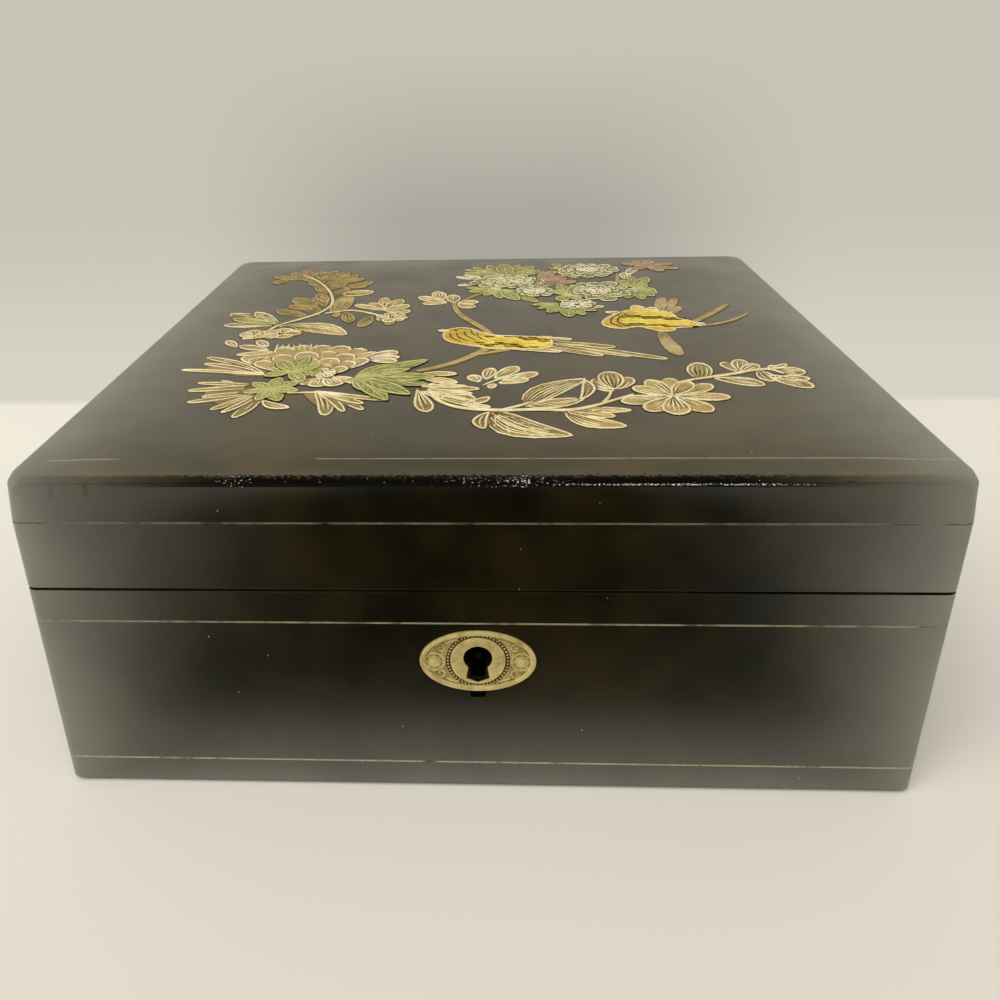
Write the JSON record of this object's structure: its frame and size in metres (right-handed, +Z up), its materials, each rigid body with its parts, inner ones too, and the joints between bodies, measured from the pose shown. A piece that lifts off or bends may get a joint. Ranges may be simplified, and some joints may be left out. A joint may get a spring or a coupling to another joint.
{
  "type": "lacquered box with secret drawer",
  "caption": "Square black lacquered box with a hinged lid, gilt line and flower decoration, a brass oval keyhole plate, a box lock and a secret drawer in its right side.",
  "frame": {"origin": "on the table, under the middle of the box's square body, at its flat underside", "axes": "+Z up; +X to the viewer's right when the keyhole faces the viewer; +Y back, towards the hinges"},
  "size_m": [0.24, 0.2574, 0.0986],
  "materials": {
    "black_lacquer": "glossy black lacquer over wood, with incised gilt lines",
    "velvet": "short pile velvet on card",
    "bare_wood": "planed softwood",
    "brass": "aged polished brass",
    "spring_steel": "blued strip steel"
  },
  "bodies": {
    "base": {"base_back": "black_lacquer", "base_front": "black_lacquer", "base_left": "black_lacquer", "base_right": "black_lacquer", "bottom_board": "black_lacquer", "drawer_guide_back": "bare_wood", "drawer_guide_front": "bare_wood", "drawer_pin_bush": "brass", "drawer_stop": "bare_wood", "dust_board": "bare_wood", "ejector_screws": "brass", "ejector_spring": "spring_steel", "escutcheon": "brass", "escutcheon_pins": "brass", "hinge_left_base_leaf": "brass", "hinge_left_base_screws": "brass", "hinge_left_pin": "brass", "hinge_right_base_leaf": "brass", "hinge_right_base_screws": "brass", "hinge_right_pin": "brass", "lining_back": "velvet", "lining_floor": "velvet", "lining_front": "velvet", "lining_left": "velvet", "lining_right": "velvet", "lock_case": "brass", "lock_key_pin": "spring_steel", "lock_plate": "brass", "lock_screws": "brass", "lock_spring": "spring_steel"},
    "lid": {"hinge_left_lid_leaf": "brass", "hinge_left_lid_screws": "brass", "hinge_right_lid_leaf": "brass", "hinge_right_lid_screws": "brass", "lid_back": "black_lacquer", "lid_board": "black_lacquer", "lid_front": "black_lacquer", "lid_left": "black_lacquer", "lid_lining_back": "velvet", "lid_lining_front": "velvet", "lid_lining_left": "velvet", "lid_lining_right": "velvet", "lid_lining_top": "velvet", "lid_right": "black_lacquer", "link_plate": "brass", "link_screws": "brass"},
    "drawer": {"drawer_back": "bare_wood", "drawer_bottom": "bare_wood", "drawer_front": "black_lacquer", "drawer_lining": "velvet", "drawer_side_back": "bare_wood", "drawer_side_front": "bare_wood"},
    "bolt": {"lock_bolt": "brass"},
    "release_pin": {"drawer_pin": "brass"}
  },
  "joints": [
    {"name": "lid_hinge", "type": "hinge", "parent": "base", "child": "lid", "pos_m": [0, 0.124, 0.0655], "axis": [-1, 0, 0], "range_deg": [0, 95]},
    {"name": "bolt_slide", "type": "slide", "parent": "base", "child": "bolt", "axis": [1, 0, 0], "range_m": [0, 0.005]},
    {"name": "drawer_slide", "type": "slide", "parent": "base", "child": "drawer", "axis": [1, 0, 0], "range_m": [0, 0.15]},
    {"name": "release_pin_slide", "type": "slide", "parent": "base", "child": "release_pin", "axis": [0, 0, -1], "range_m": [0, 0.007]}
  ]
}
